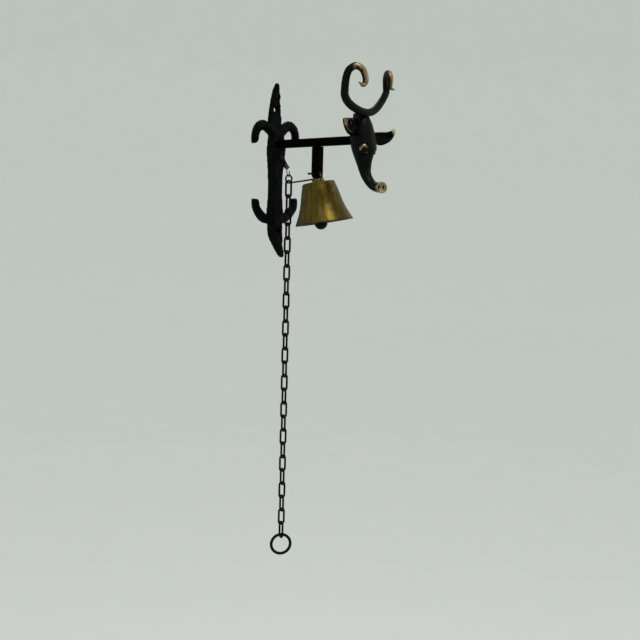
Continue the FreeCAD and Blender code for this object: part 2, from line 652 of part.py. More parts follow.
# ---------------------------------------------------------------- return spring, a curved coil with two hooks
hook_top = V(0, lug_y, lug_z - S["lug_mean"] + S["lug_wire"] + 0.3 + S["spring_wire"])
hook_low = V(0, S["eye_y"], S["eye_z"] + eye_r - S["lever_wire_r"] - 0.3 - S["spring_wire"])
coil_start = hook_top - V(0, 0.1, 4.6)
coil_finish = V(0, -20.0, 2.6)
coil_bow = (coil_start + coil_finish) * 0.5 + V(0, 1.0, -0.7)
turns = S["spring_turns"]


def eased(share):
    """Smooth step from 0 to 1."""
    share = min(1.0, max(0.0, share))
    return share * share * (3 - 2 * share)


def spring_point(turn):
    """Wire centre-line: half a turn of hook, half a turn of change, the coil, then the same in reverse."""
    top = 1 - eased((turn - 0.5) * 2)
    low = eased((turn - 1 - turns) * 2)
    coil = 1 - top - low
    u = min(1.0, max(0.0, (turn - 0.75) / (turns + 0.5)))
    axis_point = coil_start * ((1 - u) ** 2) + coil_bow * (2 * u * (1 - u)) + coil_finish * (u * u)
    downward = (coil_bow - coil_start) * (1 - u) + (coil_finish - coil_bow) * u
    across = downward.normalize().cross(AXIS_X)
    upward = (hook_top - coil_start) * top + (coil_finish - hook_low) * low - downward * coil
    upward.normalize()
    centre = (hook_top + coil_start) * (top / 2) + (hook_low + coil_finish) * (low / 2) + axis_point * coil
    half_long = (hook_top - coil_start).Length / 2 * top + (coil_finish - hook_low).Length / 2 * low
    half_long += S["spring_mean"] * coil
    half_wide = S["spring_hook"] * (top + low) + S["spring_mean"] * coil
    lift = upward * math.cos(coil * math.pi / 2) + across * math.sin(coil * math.pi / 2)
    spin = 2 * math.pi * turn
    return centre + AXIS_X * (half_wide * math.cos(spin)) + lift * (half_long * math.sin(spin))


steps = int((turns + 2.1) * 12)
curve = Part.BSplineCurve()
curve.interpolate([spring_point(-0.05 + (turns + 2.1) * k / steps) for k in range(steps + 1)])
spine_wire = Part.Wire([curve.toShape()])
start_dir = curve.tangent(curve.FirstParameter)[0]
section = Part.Wire([Part.Circle(spring_point(-0.05), start_dir, S["spring_wire"]).toShape()])
spring = doc.addObject("Part::Feature", "ReturnSpring")
spring.Shape = spine_wire.makePipeShell([section], True, True)
keep(spring, "return_spring")

doc.recompute()

problems = []
for obj in doc.Objects:
    if any(word in obj.State for word in ("Invalid", "Error")):
        problems.append("%s %s" % (obj.Name, obj.State))
for obj in OUT:
    shape = obj.Shape
    if shape.isNull() or not shape.isValid() or not shape.Solids:
        problems.append("%s: bad shape" % obj.Label)
if problems:
    raise RuntimeError("; ".join(problems))
os.makedirs("parts", exist_ok=True)
for obj in OUT:
    obj.Shape.exportStep("parts/%s.step" % obj.Label)
    print(obj.Label, len(obj.Shape.Solids), round(obj.Shape.Volume, 1))
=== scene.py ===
import math

import bmesh
import bpy
import numpy as np
from mathutils import Matrix, Vector, noise
from mathutils.bvhtree import BVHTree


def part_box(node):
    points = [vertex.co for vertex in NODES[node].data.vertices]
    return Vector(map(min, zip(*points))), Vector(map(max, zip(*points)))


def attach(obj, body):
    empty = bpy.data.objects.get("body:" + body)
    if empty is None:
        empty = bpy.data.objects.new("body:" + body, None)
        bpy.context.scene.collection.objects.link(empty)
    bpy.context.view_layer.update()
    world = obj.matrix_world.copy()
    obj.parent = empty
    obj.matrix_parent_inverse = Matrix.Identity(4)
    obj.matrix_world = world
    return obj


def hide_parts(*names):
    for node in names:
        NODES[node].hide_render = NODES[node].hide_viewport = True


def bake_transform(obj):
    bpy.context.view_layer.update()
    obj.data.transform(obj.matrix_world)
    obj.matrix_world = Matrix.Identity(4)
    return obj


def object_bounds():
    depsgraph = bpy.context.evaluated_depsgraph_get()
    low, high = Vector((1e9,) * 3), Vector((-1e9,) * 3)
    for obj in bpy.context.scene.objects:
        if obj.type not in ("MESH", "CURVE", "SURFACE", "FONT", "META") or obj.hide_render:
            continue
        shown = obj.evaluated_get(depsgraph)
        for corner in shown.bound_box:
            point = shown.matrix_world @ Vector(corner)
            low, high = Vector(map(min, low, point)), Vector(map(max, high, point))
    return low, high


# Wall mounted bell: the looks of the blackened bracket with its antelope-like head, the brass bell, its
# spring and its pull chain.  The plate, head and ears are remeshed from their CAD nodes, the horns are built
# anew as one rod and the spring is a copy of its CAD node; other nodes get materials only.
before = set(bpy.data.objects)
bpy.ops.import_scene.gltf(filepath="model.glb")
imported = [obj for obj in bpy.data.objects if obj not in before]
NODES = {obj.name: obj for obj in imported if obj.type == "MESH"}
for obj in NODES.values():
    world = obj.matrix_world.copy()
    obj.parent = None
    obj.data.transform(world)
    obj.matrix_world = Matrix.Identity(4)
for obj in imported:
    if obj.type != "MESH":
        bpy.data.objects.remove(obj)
CAD_BOX = [list(corner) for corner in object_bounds()]
MM = 0.001
LINKS = sum(name.startswith("chain_link_") for name in NODES)

# Places in the frame, in millimetres, and angles, as the CAD has them.
PIN = Vector((0, -57.4, -1.9))
BELL_TILT = math.radians(10.4)
SHELL_ASKEW = math.radians(3.1)
RIM_Z = -46.3
HORN_SPAN = 31.0
HORN_BAR = 3.6


# ------------------------------------------------------------------ material helpers
class Nodes:
    """A small wrapper that adds and links shader nodes."""

    def __init__(self, name):
        self.material = bpy.data.materials.new(name)
        self.material.use_nodes = True
        self.tree = self.material.node_tree
        self.shader = self.tree.nodes["Principled BSDF"]
        self.coords = self.tree.nodes.new("ShaderNodeTexCoord")

    def add(self, kind, **values):
        node = self.tree.nodes.new(kind)
        for key, value in values.items():
            setattr(node, key, value)
        return node

    def link(self, source, target):
        self.tree.links.new(source, target)

    def mapped(self, scale=(1, 1, 1), location=(0, 0, 0), source="Object"):
        mapping = self.add("ShaderNodeMapping")
        mapping.inputs["Location"].default_value = location
        mapping.inputs["Scale"].default_value = scale
        self.link(self.coords.outputs[source], mapping.inputs["Vector"])
        return mapping.outputs["Vector"]

    def noise(self, vector, scale, detail=4.0, roughness=0.55, distortion=0.0):
        node = self.add("ShaderNodeTexNoise")
        node.inputs["Scale"].default_value = scale
        node.inputs["Detail"].default_value = detail
        node.inputs["Roughness"].default_value = roughness
        node.inputs["Distortion"].default_value = distortion
        self.link(vector, node.inputs["Vector"])
        return node.outputs["Fac"]

    def ramp(self, source, stops):
        node = self.add("ShaderNodeValToRGB")
        ramp = node.color_ramp
        while len(ramp.elements) < len(stops):
            ramp.elements.new(0.5)
        for element, (position, colour) in zip(ramp.elements, stops):
            element.position = position
            element.color = (*colour, 1.0)
        self.link(source, node.inputs["Fac"])
        return node.outputs["Color"]

    def level(self, source, low, high, out_low=0.0, out_high=1.0):
        node = self.add("ShaderNodeMapRange")
        node.clamp = True
        for key, value in (("From Min", low), ("From Max", high), ("To Min", out_low), ("To Max", out_high)):
            node.inputs[key].default_value = value
        self.link(source, node.inputs["Value"])
        return node.outputs["Result"]

    def math(self, operation, first, second=None):
        node = self.add("ShaderNodeMath", operation=operation)
        for index, value in enumerate((first, second)):
            if value is None:
                continue
            if isinstance(value, (int, float)):
                node.inputs[index].default_value = value
            else:
                self.link(value, node.inputs[index])
        return node.outputs[0]

    def mix(self, factor, first, second):
        node = self.add("ShaderNodeMix", data_type="RGBA")
        self.link(factor, node.inputs["Factor"])
        colour_inputs = [socket for socket in node.inputs if socket.type == "RGBA"]
        for socket, value in zip(colour_inputs, (first, second)):
            if isinstance(value, tuple):
                socket.default_value = (*value, 1.0)
            else:
                self.link(value, socket)
        return [socket for socket in node.outputs if socket.type == "RGBA"][0]

    def attribute(self, name):
        node = self.add("ShaderNodeAttribute")
        node.attribute_name = name
        return node.outputs["Fac"]

    def bump(self, height, strength, distance, under=None):
        node = self.add("ShaderNodeBump")
        node.inputs["Strength"].default_value = strength
        node.inputs["Distance"].default_value = distance
        self.link(height, node.inputs["Height"])
        if under is not None:
            self.link(under, node.inputs["Normal"])
        return node.outputs["Normal"]

    def finish(self, colour=None, rough=None, metal=None, normal=None, **fixed):
        given = {"Base Color": colour, "Roughness": rough, "Metallic": metal, "Normal": normal}
        for socket, value in given.items():
            if value is None:
                continue
            if isinstance(value, (int, float)):
                self.shader.inputs[socket].default_value = value
            else:
                self.link(value, self.shader.inputs[socket])
        for key, value in fixed.items():
            self.shader.inputs[key.replace("_", " ")].default_value = value
        return self.material


# Colours, as linear red, green and blue.
BRASS_RUB = (0.34, 0.27, 0.14)
BRASS_DEEP = (0.13, 0.095, 0.040)
BLACK = (0.0005, 0.0006, 0.0005)
BLACK_GREEN = (0.0014, 0.0024, 0.0018)
HOLLOW_RED = (0.0060, 0.0022, 0.0018)


def rubbed(m, patch, strength, low, high):
    """How far the black is rubbed off: the 'brass' attribute, broken up by patches of noise."""
    uneven = m.math("MULTIPLY", m.math("SUBTRACT", patch, 0.5), strength)
    return m.level(m.math("ADD", m.attribute("brass"), uneven), low, high)


def black_patina(name, base, gloss, rough, grain=1500.0, bump=0.15, hammer=0.0, brass=True):
    """Blackened brass: near black with a green cast, and brass where the 'brass' attribute is high."""
    m = Nodes(name)
    place = m.mapped()
    clouds = m.noise(place, 95.0, 5.0, 0.6)
    fine = m.noise(place, grain, 3.0, 0.6)
    colour = m.mix(m.level(clouds, 0.34, 0.66), base[0], base[1])
    roughness = m.level(m.noise(place, 260.0, 4.0), 0.3, 0.7, rough[0], rough[1])
    metal = 0.0
    if brass:
        rub = rubbed(m, m.noise(place, 480.0, 5.0, 0.65), 1.1, 0.38, 0.66)
        tone = m.mix(m.level(m.noise(place, 230.0, 4.0), 0.35, 0.65), BRASS_DEEP, BRASS_RUB)
        colour = m.mix(rub, colour, tone)
        colour = m.mix(m.attribute("hollow"), colour, HOLLOW_RED)
        metal = rub
    normal = m.bump(fine, bump, 0.00012)
    if hammer:
        bark = m.noise(m.mapped(scale=(1.0, 1.0, 0.4)), 620.0, 5.0, 0.7, 0.6)
        normal = m.bump(bark, hammer, 0.0009, normal)
    return m.finish(colour, roughness, metal, normal, Specular_IOR_Level=gloss)


def bell_brass():
    """Aged satin brass with streaks that run down the bell and darker patches of tarnish."""
    m = Nodes("bell_aged_brass")
    local = m.mapped(location=tuple(-c * MM for c in PIN))
    upright = m.add("ShaderNodeVectorRotate", rotation_type="X_AXIS")
    upright.inputs["Angle"].default_value = BELL_TILT
    m.link(local, upright.inputs["Vector"])
    turn = m.add("ShaderNodeVectorRotate", rotation_type="Y_AXIS")
    turn.inputs["Angle"].default_value = SHELL_ASKEW
    m.link(upright.outputs["Vector"], turn.inputs["Vector"])
    split = m.add("ShaderNodeSeparateXYZ")
    m.link(turn.outputs["Vector"], split.inputs["Vector"])
    around = m.math("ARCTAN2", split.outputs["X"], split.outputs["Y"])
    ring = m.add("ShaderNodeCombineXYZ")
    m.link(m.math("COSINE", around), ring.inputs["X"])
    m.link(m.math("SINE", around), ring.inputs["Y"])
    m.link(m.math("MULTIPLY", split.outputs["Z"], 9.0), ring.inputs["Z"])
    streak = m.noise(ring.outputs["Vector"], 5.0, 6.0, 0.62, 0.9)
    hair = m.noise(ring.outputs["Vector"], 46.0, 4.0, 0.6)
    turned = m.add("ShaderNodeCombineXYZ")
    m.link(m.math("MULTIPLY", split.outputs["Z"], 1.0), turned.inputs["Z"])
    lathe = m.noise(turned.outputs["Vector"], 2600.0, 2.0, 0.5)
    place = turn.outputs["Vector"]
    stain = m.noise(place, 60.0, 6.0, 0.62, 0.6)
    speck = m.noise(place, 700.0, 4.0, 0.6)
    tones = [(0.30, (0.055, 0.037, 0.006)), (0.52, (0.092, 0.066, 0.013)), (0.74, (0.155, 0.118, 0.036))]
    warm = m.ramp(streak, tones)
    dull = m.mix(m.level(stain, 0.40, 0.66, 0.0, 0.8), warm, (0.050, 0.034, 0.007))
    colour = m.mix(m.level(speck, 0.60, 0.76, 0.0, 0.45), dull, (0.030, 0.021, 0.005))
    lip = m.level(split.outputs["Z"], RIM_Z * MM + 0.0003, RIM_Z * MM + 0.0016, 0.8, 0.0)
    colour = m.mix(lip, colour, (0.012, 0.008, 0.003))
    cast = m.noise(place, 150.0, 4.0, 0.6, 0.4)
    rough = m.level(m.math("ADD", streak, m.math("MULTIPLY", stain, 0.6)), 0.5, 1.1, 0.30, 0.48)
    normal = m.bump(hair, 0.10, 0.0002)
    normal = m.bump(lathe, 0.05, 0.00008, normal)
    normal = m.bump(cast, 0.45, 0.0009, normal)
    normal = m.bump(stain, 0.40, 0.0016, normal)
    return m.finish(colour, rough, 1.0, normal)


def worn_wire(name, dark, light, rough=(0.28, 0.45), scale=420.0, gloss=None):
    """Wire and small turned parts in two tones: bare metal, or black when a gloss is given."""
    m = Nodes(name)
    place = m.mapped()
    patch = m.noise(place, scale, 5.0, 0.6)
    fine = m.noise(place, scale * 6, 3.0)
    colour = m.mix(m.level(patch, 0.42, 0.70), dark, light)
    rough_out = m.level(fine, 0.3, 0.7, rough[0], rough[1])
    normal = m.bump(fine, 0.2, 0.00006)
    if gloss is None:
        return m.finish(colour, rough_out, 1.0, normal)
    return m.finish(colour, rough_out, 0.0, normal, Specular_IOR_Level=gloss)


def plain_floor():
    m = Nodes("pale_floor")
    grain = m.noise(m.mapped(), 6.0, 3.0)
    colour = m.mix(grain, (0.80, 0.825, 0.80), (0.83, 0.855, 0.83))
    return m.finish(colour, 0.8, 0.0)


BAR_BLACK = (0.0008, 0.0009, 0.0008)
PLATE_BLACK = (0.0014, 0.0018, 0.0015)
HEAD_GREEN = (0.0026, 0.0044, 0.0034)
PLATE = black_patina("plate_hammered_black", (BLACK, PLATE_BLACK), 0.03, (0.16, 0.42), 1400.0, 0.4, 0.9)
HEAD = black_patina("head_black_satin", (BLACK_GREEN, HEAD_GREEN), 0.06, (0.30, 0.42))
EARS = black_patina("ears_black_satin", (BLACK, BLACK_GREEN), 0.03, (0.32, 0.46))
BAR = black_patina("bar_black_satin", (BLACK, BAR_BLACK), 0.01, (0.34, 0.5), bump=0.2, brass=False)
BELL = bell_brass()
YOKE = worn_wire("yoke_dark_brass", (0.040, 0.030, 0.010), (0.26, 0.20, 0.07), (0.25, 0.42))
LEVER = worn_wire("lever_tarnished_wire", (0.004, 0.0035, 0.002), (0.085, 0.068, 0.028), (0.3, 0.5), 260.0)
CHAIN = worn_wire("chain_black_steel", (0.003, 0.003, 0.003), (0.006, 0.006, 0.0055), (0.3, 0.46), gloss=0.05)
STEEL = worn_wire("small_black_steel", (0.003, 0.0033, 0.003), (0.005, 0.0055, 0.005), gloss=0.04)
COIL = worn_wire("spring_dark_steel", (0.005, 0.005, 0.004), (0.060, 0.060, 0.054), (0.28, 0.44), 300.0)


def horn_patina():
    """The horns: black with a fine grain along the rod, and brass towards the curled tips."""
    m = Nodes("horn_black_grain")
    stretched = m.mapped(scale=(34.0, 3.0, 1.0), source="UV")
    grain = m.noise(stretched, 5.0, 5.0, 0.65, 0.2)
    place = m.mapped()
    clouds = m.noise(place, 120.0, 5.0, 0.6)
    base = m.mix(m.level(grain, 0.35, 0.68), BLACK, (0.0030, 0.0042, 0.0033))
    base = m.mix(m.level(clouds, 0.5, 0.75, 0.0, 0.5), base, (0.0048, 0.0066, 0.0053))
    rub = rubbed(m, m.noise(place, 430.0, 5.0, 0.65), 1.5, 0.34, 0.66)
    tone = m.mix(m.noise(place, 240.0, 4.0), BRASS_DEEP, BRASS_RUB)
    colour = m.mix(m.attribute("hollow"), m.mix(rub, base, tone), HOLLOW_RED)
    rough = m.level(clouds, 0.3, 0.7, 0.30, 0.46)
    return m.finish(colour, rough, rub, m.bump(grain, 0.45, 0.00022), Specular_IOR_Level=0.07)


HORN = horn_patina()


# ------------------------------------------------------------------ mesh helpers
CAST_HOLD = 0.85  # how far a softened point goes back to the CAD surface


def link_object(name, mesh):
    obj = bpy.data.objects.new(name, mesh)
    bpy.context.scene.collection.objects.link(obj)
    return obj


def apply_modifiers(obj):
    graph = bpy.context.evaluated_depsgraph_get()
    mesh = bpy.data.meshes.new_from_object(obj.evaluated_get(graph))
    obj.modifiers.clear()
    obj.data = mesh


def cast_copy(node, name, voxel, smooth):
    """One closed, even mesh laid back on the CAD surface, its sharp corners softened as in a casting."""
    build = bmesh.new()
    build.from_mesh(NODES[node].data)
    surface = BVHTree.FromBMesh(build)
    mesh = bpy.data.meshes.new(name)
    build.to_mesh(mesh)
    build.free()
    obj = link_object(name, mesh)
    remesh = obj.modifiers.new("Remesh", "REMESH")
    remesh.mode = "VOXEL"
    remesh.voxel_size = voxel * MM
    softened = obj.modifiers.new("Soften", "SMOOTH")
    softened.factor = 0.5
    softened.iterations = smooth
    apply_modifiers(obj)
    for vertex in obj.data.vertices:
        near = surface.find_nearest(vertex.co)[0]
        vertex.co = vertex.co.lerp(near, CAST_HOLD)
    obj.data.materials.clear()
    obj.data.shade_smooth()
    return obj


def arrays(mesh):
    count = len(mesh.vertices)
    points = np.zeros(count * 3)
    normals = np.zeros(count * 3)
    mesh.vertices.foreach_get("co", points)
    mesh.vertices.foreach_get("normal", normals)
    return points.reshape(-1, 3) / MM, normals.reshape(-1, 3)


def set_points(mesh, points):
    mesh.vertices.foreach_set("co", (points * MM).ravel())
    mesh.update()


def set_attribute(mesh, name, values):
    attribute = mesh.attributes.get(name) or mesh.attributes.new(name, "FLOAT", "POINT")
    attribute.data.foreach_set("value", np.clip(values, 0, 1).astype(np.float32))


def convexity(mesh, points, normals, rounds=2):
    """About 1 on sharp outer edges, 0 on flats and in hollows."""
    count = len(mesh.edges)
    edges = np.zeros(count * 2, dtype=np.int64)
    mesh.edges.foreach_get("vertices", edges)
    first, second = edges.reshape(-1, 2).T
    total = np.zeros_like(points)
    number = np.zeros(len(points))
    np.add.at(total, first, points[second])
    np.add.at(total, second, points[first])
    np.add.at(number, first, 1)
    np.add.at(number, second, 1)
    number = np.maximum(number, 1)
    length = np.linalg.norm(points[first] - points[second], axis=1).mean()
    value = -np.einsum("ij,ij->i", total / number[:, None] - points, normals) / length
    for _ in range(rounds):
        spread = np.zeros(len(points))
        np.add.at(spread, first, value[second])
        np.add.at(spread, second, value[first])
        value = 0.5 * value + 0.5 * spread / number
    return value


def field(points, size, offset):
    """Smooth noise between about -1 and 1 at each point; size is the width of its lumps in millimetres."""
    shift = Vector((offset, offset * 0.7, -offset))
    return np.array([noise.fractal(Vector(p) / size + shift, 1.0, 2.0, 3) for p in points])


def dents(points, size):
    """Hammer marks: 0 in the middle of each mark, about 1 on the ridges between."""
    values = []
    for p in points:
        near = noise.voronoi(Vector(p) / size, distance_metric="DISTANCE", exponent=2.5)[0]
        values.append(1.0 - min(1.0, near[1] - near[0]))
    return np.array(values)


def lump(points, centre, radius):
    """A soft bump of height 1 around centre; radius may be one number or one for each axis."""
    scaled = (points - np.array(centre)) / np.array(radius)
    return np.exp(-np.einsum("ij,ij->i", scaled, scaled))


def keep_inside(node, points):
    """Keeps points inside a node's box, so that a piece never grows past its CAD node."""
    low, high = (np.array(corner[:3]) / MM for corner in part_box(node))
    return np.minimum(np.maximum(points, low), high)


# ------------------------------------------------------------------ wall plate
HAMMER_SIZE = 5.2
HAMMER_DEPTH = 0.55
SPIKE_FROM_Z = 34


def wall_plate():
    """Hammer marks all over, and a coarse bark on the spike; the face on the wall stays flat."""
    obj = cast_copy("wall_plate", "wall_plate_cast", 0.7, 4)
    mesh = obj.data
    points, normals = arrays(mesh)
    on_wall = np.clip((points[:, 1] + 1.2) / 0.9, 0, 1)
    lumps = field(points, 8.0, 3.0)
    bark = field(points * np.array([1.0, 1.0, 0.35]), 2.2, 8.0)
    marks = dents(points, HAMMER_SIZE)
    spike = np.clip((points[:, 2] - SPIKE_FROM_Z) / 10, 0, 1)
    depth = -HAMMER_DEPTH * (1 - marks) + 0.24 * lumps + (0.24 + 0.30 * spike) * bark - 0.06
    points = points + normals * (np.clip(depth, -1.1, 0.14) * (1 - on_wall))[:, None]
    set_points(mesh, keep_inside("wall_plate", points))
    points, normals = arrays(mesh)
    edge = convexity(mesh, points, normals)
    set_attribute(mesh, "brass", np.clip(edge * 1.2 - 0.5, 0, 0.12))
    set_attribute(mesh, "hollow", np.zeros(len(points)))
    mesh.materials.append(PLATE)
    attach(obj, "bracket")
    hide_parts("wall_plate")


# ------------------------------------------------------------------ head
EYE_SPOT = (8.4, -119.2, 21.6)
EYE_FACING = (0.62, -0.78, 0.10)
LID_R = 3.2
NOSTRIL = (3.4, -135.0, -12.2)
SNOUT_Y = -131.5


def mirrored(place, side):
    return (side * place[0], place[1], place[2])


def eye_place(points, side):
    """Where points are beside one eye: outwards from it, up in its plane, and across it to the nose."""
    facing = np.array(mirrored(EYE_FACING, side))
    facing /= np.linalg.norm(facing)
    up = np.array([0, 0, 1.0]) - facing * facing[2]
    up /= np.linalg.norm(up)
    across = np.cross(up, facing) * side
    away = points - np.array(mirrored(EYE_SPOT, side))
    return away @ facing, away @ up, away @ across, facing


def shape_head(points, normals):
    """Lower lids sunk, brows raised, hollow cheeks, nostrils, and a groove down the snout."""
    shift = np.zeros_like(points)
    height = np.zeros(len(points))
    for side in (-1, 1):
        out, up, across, facing = eye_place(points, side)
        ring = np.exp(-((np.hypot(up, across) - LID_R) / 1.7) ** 2) * (np.abs(out) < 4)
        lower = 1 / (1 + np.exp(np.clip((up + 0.2 + 0.35 * across) / 0.5, -30, 30)))
        shift -= facing * (1.7 * ring * lower)[:, None]
        height += 0.7 * lump(points, (side * 7.0, -119.0, 28.0), (4.2, 3.6, 2.4))
        height -= 0.7 * lump(points, (side * 7.6, -118.4, 12.6), (2.6, 2.6, 5.0))
        nostril = lump(points, mirrored(NOSTRIL, side), (2.1, 2.0, 2.5))
        shift += np.array([0, 2.4, 0]) * nostril[:, None]
    front = np.clip((SNOUT_Y - points[:, 1]) / 2.0, 0, 1)
    shift += np.array([0, 0.7, 0]) * (front * np.exp(-(points[:, 0] / 0.8) ** 2))[:, None]
    height += 0.06 * field(points, 5.0, 2.0)
    return points + normals * height[:, None] + shift


def paint_head(mesh):
    """Brass on the snout, the upper lids and sharp edges; dark red in the nostrils."""
    points, normals = arrays(mesh)
    edge = convexity(mesh, points, normals)
    brass = 0.95 * np.clip((SNOUT_Y - 0.1 - points[:, 1]) / 1.6, 0, 1)
    red = np.zeros(len(points))
    for side in (-1, 1):
        out, up, across, _ = eye_place(points, side)
        ring = np.exp(-((np.hypot(up, across) - LID_R - 0.2) / 1.5) ** 2) * np.clip((out + 1.0) / 1.2, 0, 1)
        upper = np.clip((up + 0.4 + 0.35 * across) / 1.2, 0, 1)
        if side > 0:
            upper = np.maximum(upper, np.clip(across / 1.5, 0, 1))
        spot = lump(np.stack([out, up, across], axis=1), (1.0, -2.6, -2.4), (3.0, 1.1, 1.1))
        lid = 0.95 * ring * upper * np.clip((across + 4.2) / 3.0, 0.35, 1)
        brass = np.maximum.reduce([brass, lid, 0.7 * spot])
        deep = lump(points, (side * NOSTRIL[0], NOSTRIL[1] + 1.6, NOSTRIL[2]), (2.3, 2.2, 2.6))
        red = np.maximum(red, np.clip(deep * 2.0 - 0.9, 0, 1))
    set_attribute(mesh, "brass", np.maximum(brass, np.clip(edge * 1.3 - 0.75, 0, 0.35)))
    set_attribute(mesh, "hollow", red)


def head():
    obj = cast_copy("head", "head_cast", 0.45, 5)
    mesh = obj.data
    points, normals = arrays(mesh)
    set_points(mesh, keep_inside("head", shape_head(points, normals)))
    paint_head(mesh)
    mesh.materials.append(HEAD)
    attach(obj, "bracket")
    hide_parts("head")


# ------------------------------------------------------------------ ears
# For each ear: the middle of its hollow, the way it runs, the hollow's three radii, how bright its rim is,
# and how far from the middle of the head its brass tip starts.
EARS_SHAPE = {
    "ear_left": ((-21.6, -116.0, 42.8), (-1, -0.28, 0.10), (2.9, 12.0, 5.6), 0.85, 33.0),
    "ear_right": ((22.6, -116.1, 32.9), (1, -0.28, 0.14), (2.9, 12.0, 4.5), 0.25, 32.5),
}


def ear(node):
    centre, along, radii, rim_brass, tip_from = EARS_SHAPE[node]
    obj = cast_copy(node, node + "_cast", 0.32, 3)
    mesh = obj.data
    points, normals = arrays(mesh)
    points = points + normals * (0.10 * field(points, 4.0, 5.0) - 0.04)[:, None]
    set_points(mesh, keep_inside(node, points))
    points, normals = arrays(mesh)
    along = np.array(along) / np.linalg.norm(along)
    forward = np.array([0, -1.0, 0])
    forward = forward - along * (forward @ along)
    forward /= np.linalg.norm(forward)
    axes = np.stack([forward, along, np.cross(forward, along)], axis=1)
    level = np.linalg.norm((points - np.array(centre)) @ axes / np.array(radii), axis=1)
    reach = np.abs(points[:, 0])
    facing = np.clip((normals @ forward) * 2.0 + 0.2, 0, 1)
    tip = np.clip((reach - tip_from) / 3.0, 0, 1) * facing
    rim = np.clip(1 - np.abs(level - 1.10) / 0.14, 0, 1) * facing * np.clip((reach - 15.0) / 5.0, 0, 1)
    red = np.clip((1.03 - level) / 0.05, 0, 1)
    set_attribute(mesh, "brass", np.maximum(rim_brass * rim, 0.8 * tip) * (1 - red))
    set_attribute(mesh, "hollow", 0.8 * red)
    mesh.materials.append(EARS)
    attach(obj, "bracket")
    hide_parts(node)


# ------------------------------------------------------------------ horns
# From the middle of the bend outwards: share of the half span, y, z, and share of the bar's radius.
HORN_MIDDLE = (0, -114.6, 54.7, HORN_BAR)
HORN_LEFT = [
    (0.42, -114.2, 56.8, 1.03), (0.80, -113.4, 62.0, 1.05), (0.965, -112.8, 68.1, 1.03),
    (0.975, -112.6, 74.0, 1.0), (0.97, -113.2, 82.0, 0.97), (0.97, -115.0, 88.3, 0.94),
    (0.94, -117.5, 92.2, 0.92), (0.82, -120.9, 94.6, 0.90), (0.70, -125.0, 91.8, 0.86),
    (0.66, -127.4, 86.2, 0.82), (0.65, -127.9, 81.9, 0.76), (0.675, -127.4, 79.0, 0.66),
    (0.74, -127.1, 77.9, 0.52), (0.815, -126.8, 78.7, 0.34), (0.90, -126.5, 80.1, 0.14),
]
HORN_RIGHT = [
    (0.40, -114.2, 57.8, 1.0), (0.76, -113.2, 66.1, 0.94), (0.98, -112.7, 74.4, 0.90),
    (0.95, -113.3, 80.1, 0.88), (0.85, -115.3, 85.6, 0.86), (0.71, -119.3, 89.8, 0.85),
    (0.62, -123.2, 91.0, 0.84), (0.56, -126.3, 88.2, 0.82), (0.54, -127.3, 83.5, 0.76),
    (0.555, -126.9, 79.7, 0.64), (0.63, -126.3, 77.6, 0.46), (0.73, -126.1, 76.8, 0.30),
    (0.83, -126.0, 76.5, 0.14),
]
SAMPLES = 10
AROUND = 36


def catmull(values, steps):
    """Smooth samples through a list of points."""
    values = np.array(values, float)
    padded = np.vstack([2 * values[0] - values[1], values, 2 * values[-1] - values[-2]])
    out = []
    for k in range(1, len(padded) - 2):
        a, b, c, d = padded[k - 1:k + 3]
        for s in range(steps):
            t = s / steps
            out.append(0.5 * (2 * b + (c - a) * t + (2 * a - 5 * b + 4 * c - d) * t * t
                              + (3 * b - a - 3 * c + d) * t ** 3))
    out.append(values[-1])
    return np.array(out)


def tube(name, route, radii, around, bumps):
    """A closed bar along a route, with UVs: u round the bar, v along it in centimetres."""
    build = bmesh.new()
    layer = build.loops.layers.uv.new("UVMap")
    side = Vector((0, 1, 0))
    rings = []
    lengths = [0.0]
    for k, point in enumerate(route):
        ahead = Vector(route[min(k + 1, len(route) - 1)])
        behind = Vector(route[max(k - 1, 0)])
        tangent = (ahead - behind).normalized()
        side = (side - tangent * side.dot(tangent)).normalized()
        across = tangent.cross(side)
        if k:
            lengths.append(lengths[-1] + (Vector(point) - Vector(route[k - 1])).length)
        ring = []
        for j in range(around):
            angle = 2 * math.pi * j / around
            radius = radii[k] * (1 + bumps(k, angle))
            offset = side * math.cos(angle) + across * math.sin(angle)
            ring.append(build.verts.new((Vector(point) + offset * radius) * MM))
        rings.append(ring)
    for k in range(len(rings) - 1):
        for j in range(around):
            n = (j + 1) % around
            face = build.faces.new((rings[k][j], rings[k][n], rings[k + 1][n], rings[k + 1][j]))
            corners = [(j, k), (j + 1, k), (j + 1, k + 1), (j, k + 1)]
            for loop, (u, v) in zip(face.loops, corners):
                loop[layer].uv = (u / around, lengths[v] / 10.0)
    build.faces.new(list(reversed(rings[0])))
    build.faces.new(rings[-1])
    bmesh.ops.recalc_face_normals(build, faces=build.faces)
    mesh = bpy.data.meshes.new(name)
    build.to_mesh(mesh)
    build.free()
    mesh.shade_smooth()
    return link_object(name, mesh)


